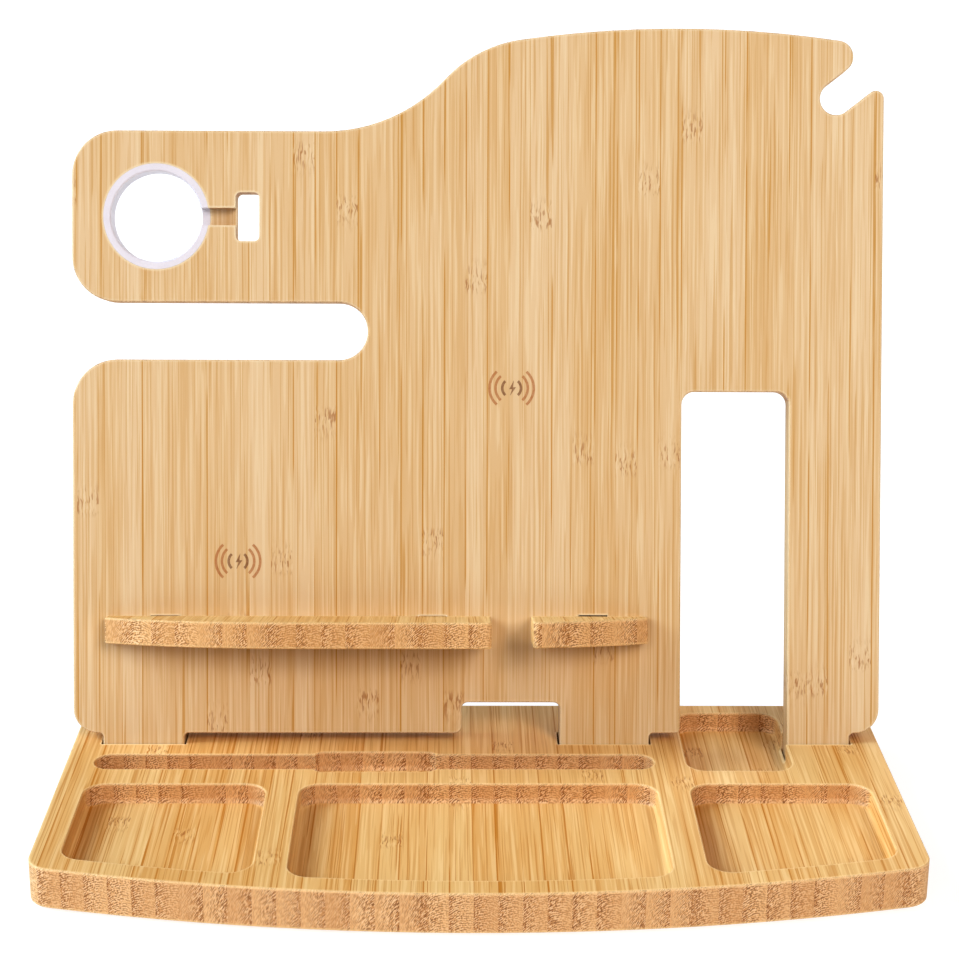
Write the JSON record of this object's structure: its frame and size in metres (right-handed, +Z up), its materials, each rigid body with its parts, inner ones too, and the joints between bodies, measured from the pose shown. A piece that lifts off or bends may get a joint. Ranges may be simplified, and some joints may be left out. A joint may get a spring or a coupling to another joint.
{
  "type": "charging station organizer",
  "caption": "Bamboo desk organizer: a leaning panel on a milled tray base, with wireless charging spots, a watch charger ring, strap slot, hook, cut-out and plug-in ledges.",
  "frame": {"origin": "centre of the whole part's footprint box, on the table plane under the feet", "axes": "+Z up, +X to the right as the user faces the panel, -Y towards the user"},
  "size_m": [0.25, 0.1632, 0.2257],
  "materials": {
    "bamboo": "satin, vertically laminated strips",
    "foot_rubber": "matt",
    "ring_plastic": "satin",
    "cover_plastic": "fine texture",
    "steel": "plated",
    "chip_black": "moulded",
    "copper": "enamelled winding wire",
    "ferrite": "sintered",
    "tape": "adhesive film",
    "lead_insulation": "smooth",
    "board_laminate": "solder mask",
    "capacitor_tan": "fired"
  },
  "bodies": {
    "base": {"base_tray": "bamboo", "non_slip_feet": "foot_rubber"},
    "panel": {"back_panel": "bamboo", "watch_ring": "ring_plastic", "rear_cover": "cover_plastic", "cover_screws": "steel", "phone_coil": "copper", "phone_ferrite": "ferrite", "phone_coil_tape": "tape", "phone_coil_leads": "lead_insulation", "earbud_coil": "copper", "earbud_ferrite": "ferrite", "earbud_coil_tape": "tape", "earbud_coil_leads": "lead_insulation", "control_board": "board_laminate", "board_tape": "tape", "control_chips": "chip_black", "resonant_capacitors": "capacitor_tan", "power_inductor": "ferrite", "usb_c_shell": "steel", "usb_c_tongue": "chip_black"},
    "long_ledge": {"long_ledge": "bamboo"},
    "short_ledge": {"short_ledge": "bamboo"}
  },
  "joints": [
    {"name": "panel_lift", "type": "slide", "parent": "base", "child": "panel", "axis": [0, 0.2756, 0.9613], "range_m": [0, 0.02]},
    {"name": "long_ledge_pull", "type": "slide", "parent": "panel", "child": "long_ledge", "axis": [0, -0.9613, 0.2756], "range_m": [0, 0.02]},
    {"name": "short_ledge_pull", "type": "slide", "parent": "panel", "child": "short_ledge", "axis": [0, -0.9613, 0.2756], "range_m": [0, 0.02]}
  ]
}
